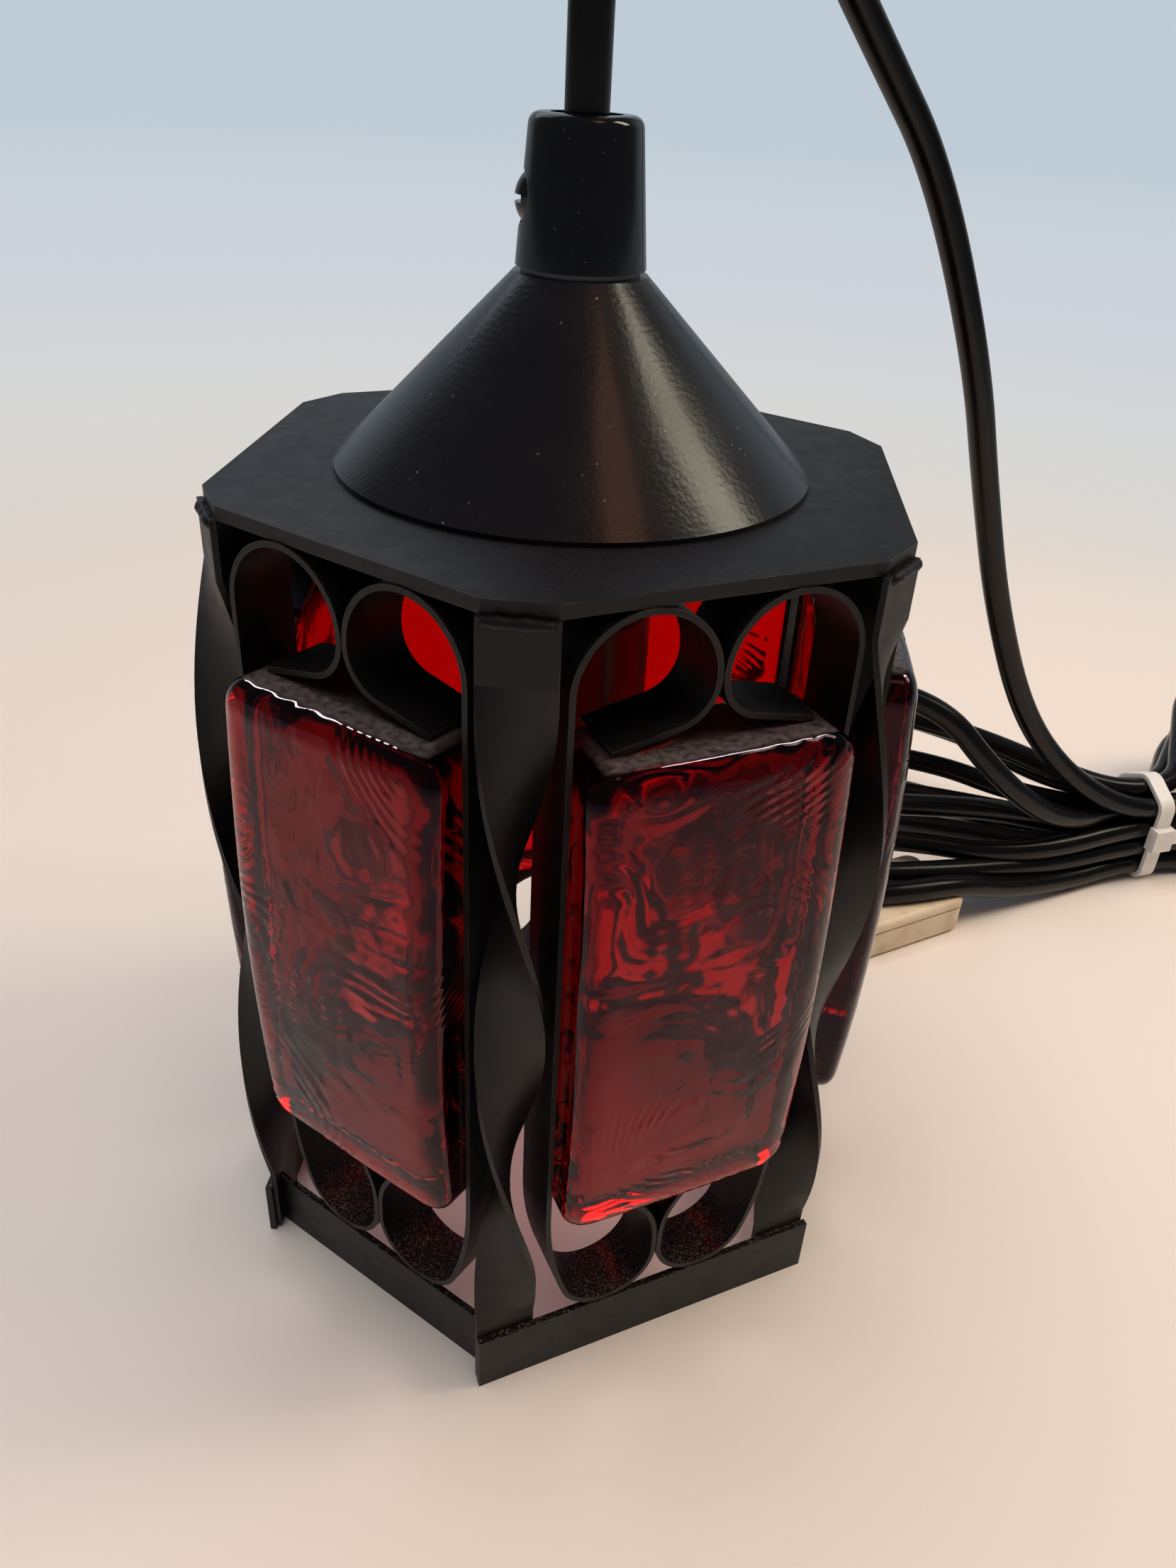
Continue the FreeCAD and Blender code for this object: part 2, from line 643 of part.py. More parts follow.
def main():
    os.makedirs("parts", exist_ok=True)
    save("top_plate", top_plate())
    strips = (twisted_strip(full_twist + corner_turn, 0),
              twisted_strip(full_twist - corner_turn, strip_shift))
    scroll = scroll_strip()
    mirrored = scroll.mirror(vec(0, 0), vec(0, 1, 0))
    block = glass_block()
    for k in range(side_count):
        angle = side_angle(k)
        long_side = k % 2 == 0
        save(f"ring_bar_{k + 1}", turned(long_bar() if long_side else short_bar(), angle))
        save(f"twisted_strip_{k + 1}", turned(strips[k % 2], angle - side_step / 2))
        save(f"scroll_{k + 1}_left", turned(mirrored, angle))
        save(f"scroll_{k + 1}_right", turned(scroll, angle))
        save(f"glass_block_{k + 1}", turned(block, angle))

    save("cone_cap", cone_cap())
    save("threaded_nipple", cylinder(nipple_radius, nipple_bottom, nipple_top).cut(
        cylinder(nipple_bore, nipple_bottom - 1, nipple_top + 1)))
    save("plate_nuts", hex_nut(cage_height), hex_nut(plate_bottom - nut_thickness))
    save("grip_washer", cylinder(washer_radius, cone_top, grip_base).cut(
        cylinder(nipple_radius + thread_gap, cone_top - 1, grip_base + 1)))
    save("cord_grip", cord_grip())
    save("grip_screw", grip_screw())

    save("holder_cap", holder_cap())
    save("holder_skirt", holder_skirt())
    save("holder_core", holder_core())
    save("thread_shell", thread_shell())
    save("centre_contact", centre_contact())
    save("terminal_screws", terminal_screw(1), terminal_screw(-1))
    save("lead_wires", lead_wire(1), lead_wire(-1))

    save("inner_cable", cylinder(cable_radius, nipple_bottom, cable_join))
    route_end = hank_frame(Part.Vertex(-waist_length / 2, front_column,
                                       bundle_lift + (column_count - 1) * strand_pitch), hank_turn)
    tube = cable_tube("cord_tube", [(0, 0, cable_join)] + free_route + [tuple(route_end.Point)])
    body = plug_body()
    hank = bundle(waist_length, 0).fuse([cleared(lobe(left_lobe)), cleared(lobe(right_lobe))])
    for solid in (tube, body, plug_pin(1), plug_pin(-1)):
        hank = hank.cut(solid)
    save("cord_tube", tube)
    save("cord_hank", hank)
    save("cable_tie", cable_tie())
    save("plug_body", body)
    save("plug_pins", plug_pin(1), plug_pin(-1))


main()
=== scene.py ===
import math
import bpy
import bmesh
from mathutils import Matrix, Vector, noise


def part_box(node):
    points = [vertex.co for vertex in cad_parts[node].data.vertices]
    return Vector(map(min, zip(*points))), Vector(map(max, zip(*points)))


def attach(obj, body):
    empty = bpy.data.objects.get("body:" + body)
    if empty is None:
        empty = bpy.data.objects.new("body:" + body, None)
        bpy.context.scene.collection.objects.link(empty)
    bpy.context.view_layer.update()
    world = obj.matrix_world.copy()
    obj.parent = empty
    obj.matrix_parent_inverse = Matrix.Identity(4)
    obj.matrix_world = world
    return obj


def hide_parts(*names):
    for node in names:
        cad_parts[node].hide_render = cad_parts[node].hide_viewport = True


# Hexagonal iron pendant lantern with cast ruby glass, its cable tied up in a hank beside it.
# Metres, +Z up, the ring stands on z = 0. Side k (0 to 5) faces 60 k - 60 degrees from +X.

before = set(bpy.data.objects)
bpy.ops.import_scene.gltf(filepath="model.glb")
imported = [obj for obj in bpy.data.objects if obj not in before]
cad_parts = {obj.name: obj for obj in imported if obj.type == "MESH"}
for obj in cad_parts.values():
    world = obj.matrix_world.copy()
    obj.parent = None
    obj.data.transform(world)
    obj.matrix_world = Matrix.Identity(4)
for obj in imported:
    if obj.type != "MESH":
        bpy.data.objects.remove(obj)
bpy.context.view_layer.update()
print("frame loaded", len(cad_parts), "nodes")


def colour(hexCode):
    # sRGB hex to linear
    values = [int(hexCode[i:i + 2], 16) / 255 for i in (1, 3, 5)]
    return [v / 12.92 if v <= 0.04045 else ((v + 0.055) / 1.055) ** 2.4 for v in values] + [1.0]


def addNode(material, kind, inputs=None, **settings):
    # one node, its settings, and a value or a link for each of its inputs
    tree = material.node_tree
    node = tree.nodes.new("ShaderNode" + kind)
    for name, value in settings.items():
        setattr(node, name, value)
    for name, value in (inputs or {}).items():
        if isinstance(value, bpy.types.Node):
            value = value.outputs[0]
        if isinstance(value, bpy.types.NodeSocket):
            tree.links.new(value, node.inputs[name])
        else:
            node.inputs[name].default_value = value
    return node


def every(millimetres):
    # a texture's scale that gives one lump, speck or wave in this many millimetres
    return 1000 / millimetres


def startMaterial(name):
    material = bpy.data.materials.new(name)
    material.use_nodes = True
    material.node_tree.nodes.clear()
    place = addNode(material, "TexCoord").outputs["Object"]
    return material, place


def endMaterial(material, shader, volume=None):
    links = {"Surface": shader}
    if volume:
        links["Volume"] = volume
    addNode(material, "OutputMaterial", links)
    return material


def sidePoint(k, out, along, height):
    # from side k's own frame: out from the axis, along the side, and up
    a = math.radians(60 * k - 60)
    return Vector((out * math.cos(a) - along * math.sin(a),
                   out * math.sin(a) + along * math.cos(a), height))


def meshPiece(name, verts, faces, material, body):
    # a smooth shaded mesh that rides a body
    mesh = bpy.data.meshes.new(name)
    mesh.from_pydata([tuple(v) for v in verts], [], faces)
    work = bmesh.new()
    work.from_mesh(mesh)
    bmesh.ops.recalc_face_normals(work, faces=work.faces)
    work.to_mesh(mesh)
    work.free()
    mesh.polygons.foreach_set("use_smooth", [True] * len(mesh.polygons))
    piece = bpy.data.objects.new(name, mesh)
    bpy.context.scene.collection.objects.link(piece)
    mesh.materials.append(material)
    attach(piece, body)
    return piece


def paint(material, *nodes):
    # gives CAD nodes their material
    for name in nodes:
        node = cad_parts[name]
        if not node.material_slots:
            node.data.materials.append(material)
        for held in node.material_slots:
            held.material = material


cameraView = {
    "place": (0.01843, -0.18331, 0.20306),
    "azimuth": 4.12,       # degrees, 0 looks along +Y
    "elevation": 31.65,    # above the level
    "roll": 3.23,
    "lens": 27.49,         # mm, on a sensor 36 mm high
}


def makeCamera():
    a, e, r = (math.radians(cameraView[name]) for name in ("azimuth", "elevation", "roll"))
    back = Vector((math.sin(a) * math.cos(e), -math.cos(a) * math.cos(e), math.sin(e)))
    level = Vector((math.cos(a), math.sin(a), 0))
    rise = back.cross(level)
    right = level * math.cos(r) + rise * math.sin(r)
    up = rise * math.cos(r) - level * math.sin(r)
    data = bpy.data.cameras.new("viewCamera")
    data.sensor_fit = "VERTICAL"
    data.sensor_height = 36.0
    data.lens = cameraView["lens"]
    data.clip_start = 0.01
    camera = bpy.data.objects.new("viewCamera", data)
    turn = Matrix((right, up, back)).transposed().to_4x4()
    camera.matrix_world = Matrix.Translation(cameraView["place"]) @ turn
    bpy.context.scene.collection.objects.link(camera)
    bpy.context.scene.camera = camera


makeCamera()


cable = {
    "diameter": 0.0062,
    "exit": (0, 0, 0.1937),    # top of the cord grip's recess
    "free": [(0, 0, 0.2095), (0, 0, 0.218), (0.0055, 0.005, 0.237), (0.014, 0.0185, 0.2495),
             (0.023, 0.0375, 0.2515), (0.030, 0.056, 0.2415), (0.033, 0.0685, 0.221),
             (0.046, 0.077, 0.2045), (0.061, 0.0845, 0.1855), (0.077, 0.0895, 0.1495),
             (0.087, 0.0985, 0.119), (0.098, 0.1055, 0.0875), (0.113, 0.111, 0.0555),
             (0.131, 0.115, 0.0355)],
    "tail": [(0.133, 0.137, 0.0033), (0.113, 0.149, 0.0032), (0.091, 0.157, 0.0032),
             (0.069, 0.1605, 0.0032), (0.048, 0.154, 0.0032), (0.033, 0.140, 0.0032),
             (0.026, 0.121, 0.0032), (0.0247, 0.102, 0.0032), (0.0293, 0.085, 0.0032),
             (0.043, 0.0742, 0.0036), (0.0605, 0.0733, 0.0052), (0.0679, 0.0781, 0.0055),
             (0.0713, 0.0803, 0.0055)],
    "length": 3.32,
}
hank = {
    "middle": (0.1585, 0.1315),     # where the tie holds it
    "turn": 22.0,                   # direction of the bundle there
    "waist": 0.020,
    "pitch": 0.0064,                # between two strands in a column
    "lowest": 0.0044,
    "columns": {"far": 0.0031, "middle": -0.0025, "front": -0.0081},
    "turnPoints": 6,                # on each round end, besides its sides
    # strands in the order in which the cable runs through the tie, each with the end that
    # follows it: middle, radius and three heights of its round end, and its sides' points
    "strands": [
        ("front", 3, (0.207, 0.161, 0.0285, 0.027, 0.040, 0.035), [], []),
        ("middle", 3, (0.064, 0.1285, 0.024, 0.032, 0.057, 0.066),
         [(0.133, 0.128, 0.030), (0.114, 0.1415, 0.031), (0.095, 0.1495, 0.032)],
         [(0.089, 0.104, 0.061), (0.107, 0.1015, 0.042), (0.124, 0.107, 0.028),
          (0.137, 0.1145, 0.0225)]),
        ("middle", 2, (0.204, 0.1615, 0.0235, 0.0215, 0.030, 0.029), [], []),
        ("far", 3, (0.065, 0.135, 0.028, 0.031, 0.030, 0.025),
         [(0.130, 0.139, 0.0225), (0.110, 0.153, 0.027)],
         [(0.094, 0.1105, 0.025), (0.112, 0.1125, 0.0245), (0.131, 0.120, 0.0175)]),
        ("middle", 1, (0.203, 0.161, 0.0225, 0.0145, 0.0215, 0.023), [], []),
        ("far", 2, (0.066, 0.129, 0.026, 0.017, 0.0185, 0.0165),
         [(0.123, 0.137, 0.0168), (0.103, 0.151, 0.0165)],
         [(0.092, 0.1045, 0.0165), (0.110, 0.1035, 0.0155), (0.131, 0.1095, 0.0155)]),
        ("front", 2, (0.208, 0.1615, 0.0295, 0.0174, 0.0162, 0.0165), [], []),
        ("far", 1, (0.066, 0.117, 0.0285, 0.0098, 0.012, 0.0141),
         [(0.125, 0.136, 0.0103), (0.104, 0.141, 0.0098)],
         [(0.088, 0.092, 0.0141), (0.106, 0.099, 0.0125), (0.131, 0.1105, 0.0093)]),
        ("front", 1, (0.206, 0.161, 0.028, 0.0104, 0.0098, 0.010), [], []),
        ("middle", 0, (0.067, 0.1087, 0.029, 0.0033, 0.0045, 0.0141),
         [(0.127, 0.128, 0.005), (0.106, 0.134, 0.0033)],
         [(0.084, 0.082, 0.0141), (0.102, 0.090, 0.0135), (0.116, 0.0985, 0.0075),
          (0.137, 0.1115, 0.0036)]),
        ("front", 0, (0.208, 0.162, 0.0295, 0.0032, 0.0032, 0.0032), [], []),
        ("far", 0, None, [], []),
    ],
}


def strandPoint(column, step, along):
    # a point on one strand, this far along the bundle from the tie
    a = math.radians(hank["turn"])
    across = hank["columns"][column]
    layer = step + (0.5 if column == "middle" else 0)
    return (hank["middle"][0] + along * math.cos(a) - across * math.sin(a),
            hank["middle"][1] + along * math.sin(a) + across * math.cos(a),
            hank["lowest"] + hank["pitch"] * layer)


def hankEnd(start, roundEnd, outSide, backSide, end):
    # from one strand round to the next: out, round the end, and back
    x, y, radius, zOut, zFar, zBack = roundEnd

    def touch(point, side):
        dx, dy = point[0] - x, point[1] - y
        return math.atan2(dy, dx) + side * math.acos(radius / math.hypot(dx, dy))

    def around(angle, reach, height):
        return x + reach * math.cos(angle), y + reach * math.sin(angle), height

    def halfway(a, b):
        return tuple((p + q) / 2 for p, q in zip(a, b))

    first = touch(outSide[-1] if outSide else start, 1)
    last = touch(backSide[0] if backSide else end, -1)
    while last < first:
        last += 2 * math.pi
    count = hank["turnPoints"]
    step = (last - first) / count
    points = list(outSide) or [halfway(start, around(first, radius, zOut))]
    for i in range(count):
        share = (i + 0.5) / count * 2 - 1
        height = zFar + ((zOut if share < 0 else zBack) - zFar) * abs(share)
        points.append(around(first + step * (i + 0.5), radius / math.cos(step / 2), height))
    return points + (list(backSide) or [halfway(end, around(last, radius, zBack))])


def cableRoute():
    points = [cable["exit"]] + cable["free"]
    half = hank["waist"] / 2
    strands = hank["strands"]
    for i, (column, step, roundEnd, outSide, backSide) in enumerate(strands):
        way = 1 if i % 2 == 0 else -1
        points += [strandPoint(column, step, -half * way), strandPoint(column, step, half * way)]
        if roundEnd:
            following = strandPoint(strands[i + 1][0], strands[i + 1][1], half * way)
            points += hankEnd(points[-1], roundEnd, outSide, backSide, following)
    return points + cable["tail"]


def makeCable(material):
    route = cableRoute()
    data = bpy.data.curves.new("mainsCable", "CURVE")
    data.dimensions = "3D"
    spline = data.splines.new("NURBS")
    spline.points.add(len(route) - 1)
    for point, place in zip(spline.points, route):
        point.co = (*place, 1)
    spline.order_u = 3
    spline.use_endpoint_u = True
    spline.resolution_u = 10
    data.bevel_depth = cable["diameter"] / 2
    data.bevel_resolution = 6
    data.use_fill_caps = True
    data.materials.append(material)
    piece = bpy.data.objects.new("mainsCable", data)
    bpy.context.scene.collection.objects.link(piece)
    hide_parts("cord_tube", "cord_hank")
    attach(piece, "lantern")
    return piece


def blackPaintedIron():
    # matt stove paint brushed over hot-rolled mild steel strip: even charcoal with a low sheen,
    # a thin brown line where the cut edges have worn through, grey grit at the bottom of the cage
    material, place = startMaterial("blackPaintedIron")
    patches = addNode(material, "TexNoise", {"Vector": place, "Scale": every(22), "Detail": 4.0})
    grain = addNode(material, "TexNoise", {"Vector": place, "Scale": every(0.77), "Detail": 2.0})
    ripples = addNode(material, "TexNoise", {"Vector": place, "Scale": every(3.8), "Detail": 5.0,
                                             "Roughness": 0.6})
    paintTone = addNode(material, "Mix", {0: patches, 6: colour("#0b0a0c"), 7: colour("#151214")},
                        data_type="RGBA")
    # worn edges, 0.25 mm wide
    solid = addNode(material, "NewGeometry")
    rounded = addNode(material, "Bevel", {"Radius": 0.00025}, samples=4)
    facing = addNode(material, "VectorMath", {0: rounded, 1: solid.outputs["Normal"]},
                     operation="DOT_PRODUCT")
    edge = addNode(material, "MapRange", {"Value": facing.outputs["Value"], "From Min": 0.97,
                                          "From Max": 0.80})
    wornHere = addNode(material, "MapRange", {"Value": ripples, "From Min": 0.44,
                                              "From Max": 0.60})
    worn = addNode(material, "Math", {0: edge, 1: wornHere}, operation="MULTIPLY")
    wornTone = addNode(material, "Mix", {0: patches, 6: colour("#3c2a20"), 7: colour("#6a5646")},
                       data_type="RGBA")
    painted = addNode(material, "Mix", {0: worn, 6: paintTone.outputs[2],
                                        7: wornTone.outputs[2]}, data_type="RGBA")
    # grit on what faces up, mostly in the lowest 40 mm
    split = addNode(material, "SeparateXYZ", {"Vector": solid.outputs["Normal"]})
    level = addNode(material, "MapRange", {"Value": split.outputs["Z"], "From Min": 0.15,
                                           "From Max": 0.85})
    height = addNode(material, "SeparateXYZ", {"Vector": place})
    low = addNode(material, "MapRange", {"Value": height.outputs["Z"], "From Min": 0.042,
                                         "From Max": 0.026, "To Min": 0.05, "To Max": 1.0})
    specks = addNode(material, "TexNoise", {"Vector": place, "Scale": every(0.38), "Detail": 1.0})
    bright = addNode(material, "MapRange", {"Value": specks, "From Min": 0.52,
                                            "From Max": 0.70, "To Max": 0.5})
    lying = addNode(material, "Math", {0: level, 1: low}, operation="MULTIPLY")
    dust = addNode(material, "Math", {0: lying, 1: bright}, operation="MULTIPLY")
    finished = addNode(material, "Mix", {0: dust, 6: painted.outputs[2],
                                         7: colour("#857a70")}, data_type="RGBA")
    sheen = addNode(material, "MapRange", {"Value": ripples, "From Min": 0.3, "From Max": 0.7,
                                           "To Min": 0.40, "To Max": 0.52})
    waves = addNode(material, "Bump", {"Height": patches, "Strength": 0.20, "Distance": 0.002})
    peel = addNode(material, "Bump", {"Height": ripples, "Strength": 0.20, "Distance": 0.0001,
                                      "Normal": waves})
    skin = addNode(material, "Bump", {"Height": grain, "Strength": 0.20, "Distance": 0.00004,
                                      "Normal": peel})
    shader = addNode(material, "BsdfPrincipled", {
        "Base Color": finished.outputs[2], "Roughness": sheen, "Metallic": 0.0, "IOR": 1.5,
        "Specular IOR Level": 0.32, "Normal": skin})
    return endMaterial(material, shader)


def lacqueredSpunSteel():
    # black stoving lacquer over a cone spun on a lathe: satin, long soft streaks of light,
    # faint rings from the spinning tool 0.8 mm apart, and pale dust specks
    material, place = startMaterial("lacqueredSpunSteel")
    split = addNode(material, "SeparateXYZ", {"Vector": place})
    cloudy = addNode(material, "TexNoise", {"Vector": place, "Scale": every(14), "Detail": 5.0})
    turns = addNode(material, "Math", {0: split.outputs["Z"], 1: 2 * math.pi / 0.0008},
                    operation="MULTIPLY")
    rings = addNode(material, "Math", {0: turns}, operation="SINE")
    fine = addNode(material, "TexNoise", {"Vector": place, "Scale": every(0.77), "Detail": 4.0})
    specks = addNode(material, "TexVoronoi", {"Vector": place, "Scale": every(2.4)})
    dots = addNode(material, "MapRange", {"Value": specks.outputs["Distance"], "From Min": 0.10,
                                          "From Max": 0.05})
    some = addNode(material, "MapRange", {"Value": cloudy, "From Min": 0.50, "From Max": 0.62,
                                          "To Max": 0.6})
    dust = addNode(material, "Math", {0: dots, 1: some}, operation="MULTIPLY")
    tone = addNode(material, "Mix", {0: cloudy, 6: colour("#0a080c"), 7: colour("#141114")},
                   data_type="RGBA")
    finished = addNode(material, "Mix", {0: dust, 6: tone.outputs[2], 7: colour("#8d857a")},
                       data_type="RGBA")
    gloss = addNode(material, "MapRange", {"Value": cloudy, "From Min": 0.3, "From Max": 0.7,
                                           "To Min": 0.22, "To Max": 0.31})
    spun = addNode(material, "Bump", {"Height": rings, "Strength": 0.10, "Distance": 0.00002})
    skin = addNode(material, "Bump", {"Height": fine, "Strength": 0.45, "Distance": 0.00012,
                                      "Normal": spun})
    shader = addNode(material, "BsdfPrincipled", {
        "Base Color": finished.outputs[2], "Roughness": gloss, "Metallic": 0.0, "IOR": 1.5,
        "Specular IOR Level": 0.36, "Coat Weight": 0.2, "Coat Roughness": 0.12,
        "Normal": skin})
    return endMaterial(material, shader)


def rubyCastGlass():
    # selenium ruby glass cast in an iron mould: deep crimson by its depth, fire-polished skin,
    # fine contour lines from the mould about 1 mm apart, a satin back as it left the mould, and
    # a thin bloom of dust on top
    material, place = startMaterial("rubyCastGlass")
    flow = addNode(material, "TexNoise", {"Vector": place, "Scale": every(38), "Detail": 1.0})
    contours = addNode(material, "Math", {0: flow, 1: 210.0}, operation="MULTIPLY")
    lines = addNode(material, "Math", {0: contours}, operation="SINE")
    where = addNode(material, "TexNoise", {"Vector": place, "Scale": every(24), "Detail": 1.0,
                                           "Distortion": 0.5})
    patch = addNode(material, "MapRange", {"Value": where, "From Min": 0.46, "From Max": 0.55})
    etched = addNode(material, "Math", {0: lines, 1: patch}, operation="MULTIPLY")
    pitted = addNode(material, "TexNoise", {"Vector": place, "Scale": every(1.1), "Detail": 3.0})
    solid = addNode(material, "NewGeometry")
    split = addNode(material, "SeparateXYZ", {"Vector": solid.outputs["Normal"]})
    lying = addNode(material, "MapRange", {"Value": split.outputs["Z"], "From Min": 0.90,
                                           "From Max": 0.995})
    speckled = addNode(material, "MapRange", {"Value": pitted, "From Min": 0.30,
                                              "From Max": 0.70, "To Min": 0.02,
                                              "To Max": 0.10})
    dust = addNode(material, "Math", {0: lying, 1: speckled}, operation="MULTIPLY")
    clear = addNode(material, "Math", {0: 1.0, 1: dust}, operation="SUBTRACT")
    tone = addNode(material, "Mix", {0: dust, 6: colour("#fbe3e3"), 7: colour("#56423f")},
                   data_type="RGBA")
    level = addNode(material, "VectorMath", {0: place, 1: (1.0, 1.0, 0.0)}, operation="MULTIPLY")
    away = addNode(material, "VectorMath", {0: level}, operation="LENGTH").outputs["Value"]
    satin = addNode(material, "MapRange", {"Value": away, "From Min": 0.0425,
                                           "From Max": 0.0445, "To Min": 0.11, "To Max": 0.015})
    gloss = addNode(material, "Math", {0: dust, 1: 0.6, 2: satin}, operation="MULTIPLY_ADD")
    relief = addNode(material, "Bump", {"Height": etched, "Strength": 0.60, "Distance": 0.00005})
    skin = addNode(material, "Bump", {"Height": pitted, "Strength": 0.03, "Distance": 0.0001,
                                      "Normal": relief})
    shader = addNode(material, "BsdfPrincipled", {
        "Base Color": tone.outputs[2], "Roughness": gloss, "IOR": 1.5,
        "Specular Tint": (0.40, 0.28, 0.38, 1.0), "Transmission Weight": clear,
        "Normal": skin})
    depth = addNode(material, "VolumeAbsorption", {"Color": (0.895, 0.05, 0.10, 1.0),
                                                   "Density": 420.0})
    return endMaterial(material, shader, depth)


def glossBlackMoulding():
    # urea moulding straight from a polished die: deep black with crisp reflections, a little
    # wipe haze and dust
    material, place = startMaterial("glossBlackMoulding")
    haze = addNode(material, "TexNoise", {"Vector": place, "Scale": every(6.2), "Detail": 4.0})
    lint = addNode(material, "TexVoronoi", {"Vector": place, "Scale": every(1.9)})
    dots = addNode(material, "MapRange", {"Value": lint.outputs["Distance"], "From Min": 0.09,
                                          "From Max": 0.05, "To Max": 0.35})
    tone = addNode(material, "Mix", {0: dots, 6: colour("#08080c"), 7: colour("#77736d")},
                   data_type="RGBA")
    gloss = addNode(material, "MapRange", {"Value": haze, "From Min": 0.3, "From Max": 0.7,
                                           "To Min": 0.07, "To Max": 0.13})
    skin = addNode(material, "Bump", {"Height": haze, "Strength": 0.05, "Distance": 0.0004})
    shader = addNode(material, "BsdfPrincipled", {
        "Base Color": tone.outputs[2], "Roughness": gloss, "IOR": 1.54, "Normal": skin})
    return endMaterial(material, shader)


def phenolicMoulding():
    # bakelite lamp holder: brown-black, semi-gloss, faint flow mottle a few millimetres wide
    material, place = startMaterial("phenolicMoulding")
    mottle = addNode(material, "TexNoise", {"Vector": place, "Scale": every(3.3), "Detail": 6.0})
    tone = addNode(material, "Mix", {0: mottle, 6: colour("#15100e"), 7: colour("#2a211c")},
                   data_type="RGBA")
    skin = addNode(material, "Bump", {"Height": mottle, "Strength": 0.08, "Distance": 0.0002})
    shader = addNode(material, "BsdfPrincipled", {
        "Base Color": tone.outputs[2], "Roughness": 0.30, "IOR": 1.62, "Normal": skin})
    return endMaterial(material, shader)


def glazedSteatite():
    # fired steatite core: off-white, waxy, with fine pores
    material, place = startMaterial("glazedSteatite")
    pores = addNode(material, "TexNoise", {"Vector": place, "Scale": every(0.7), "Detail": 3.0})
    tone = addNode(material, "Mix", {0: pores, 6: colour("#d6d0c4"), 7: colour("#ece7dc")},
                   data_type="RGBA")
    skin = addNode(material, "Bump", {"Height": pores, "Strength": 0.2, "Distance": 0.00008})
    shader = addNode(material, "BsdfPrincipled", {
        "Base Color": tone.outputs[2], "Roughness": 0.42, "IOR": 1.55, "Normal": skin})
    return endMaterial(material, shader)


def zincPlatedSteel():
    # turned steel whose zinc has dulled with age: dark blue-grey, satin, turning marks 0.3 mm
    # apart
    material, place = startMaterial("zincPlatedSteel")
    split = addNode(material, "SeparateXYZ", {"Vector": place})
    turns = addNode(material, "Math", {0: split.outputs["Z"], 1: 2 * math.pi / 0.0003},
                    operation="MULTIPLY")
    marks = addNode(material, "Math", {0: turns}, operation="SINE")
    stain = addNode(material, "TexNoise", {"Vector": place, "Scale": every(2.9), "Detail": 4.0})
    tone = addNode(material, "Mix", {0: stain, 6: colour("#4c4b49"), 7: colour("#6f6e6c")},
                   data_type="RGBA")
    gloss = addNode(material, "MapRange", {"Value": stain, "To Min": 0.28, "To Max": 0.45})
    skin = addNode(material, "Bump", {"Height": marks, "Strength": 0.1, "Distance": 0.00003})
    shader = addNode(material, "BsdfPrincipled", {
        "Base Color": tone.outputs[2], "Metallic": 1.0, "Roughness": gloss, "Normal": skin})
    return endMaterial(material, shader)


def nickelledBrass():
    # rolled brass with thin nickel: pale warm metal, slightly tarnished
    material, place = startMaterial("nickelledBrass")
    tarnish = addNode(material, "TexNoise", {"Vector": place, "Scale": every(2.4), "Detail": 5.0})
    tone = addNode(material, "Mix", {0: tarnish, 6: colour("#b79f72"), 7: colour("#d8cfb8")},
                   data_type="RGBA")
    gloss = addNode(material, "MapRange", {"Value": tarnish, "To Min": 0.18, "To Max": 0.38})
    shader = addNode(material, "BsdfPrincipled", {
        "Base Color": tone.outputs[2], "Metallic": 1.0, "Roughness": gloss})
    return endMaterial(material, shader)


def softPvcSheath():
    # extruded plasticised PVC: soft gloss, brown-black, faint extrusion waves, finger haze
    material, place = startMaterial("softPvcSheath")
    haze = addNode(material, "TexNoise", {"Vector": place, "Scale": every(11), "Detail": 5.0})
    fine = addNode(material, "TexNoise", {"Vector": place, "Scale": every(0.55), "Detail": 2.0})
    tone = addNode(material, "Mix", {0: haze, 6: colour("#060506"), 7: colour("#100d0c")},
                   data_type="RGBA")
    gloss = addNode(material, "MapRange", {"Value": haze, "From Min": 0.3, "From Max": 0.7,
                                           "To Min": 0.18, "To Max": 0.30})
    skin = addNode(material, "Bump", {"Height": fine, "Strength": 0.2, "Distance": 0.00004})
    shader = addNode(material, "BsdfPrincipled", {
        "Base Color": tone.outputs[2], "Roughness": gloss, "IOR": 1.53,
        "Specular IOR Level": 0.25, "Normal": skin})
    return endMaterial(material, shader)


def naturalNylon():
    # injection-moulded nylon 6/6: milky white, waxy, lets a little light in
    material, place = startMaterial("naturalNylon")
    flow = addNode(material, "TexNoise", {"Vector": place, "Scale": every(2), "Detail": 3.0})
    tone = addNode(material, "Mix", {0: flow, 6: colour("#d9d7d2"), 7: colour("#f0efec")},
                   data_type="RGBA")
    skin = addNode(material, "Bump", {"Height": flow, "Strength": 0.1, "Distance": 0.0001})
    shader = addNode(material, "BsdfPrincipled", {
        "Base Color": tone.outputs[2], "Roughness": 0.38, "IOR": 1.53,
        "Subsurface Weight": 0.25, "Subsurface Radius": (0.002, 0.002, 0.0018),
        "Subsurface Scale": 1.0, "Normal": skin})
    return endMaterial(material, shader)


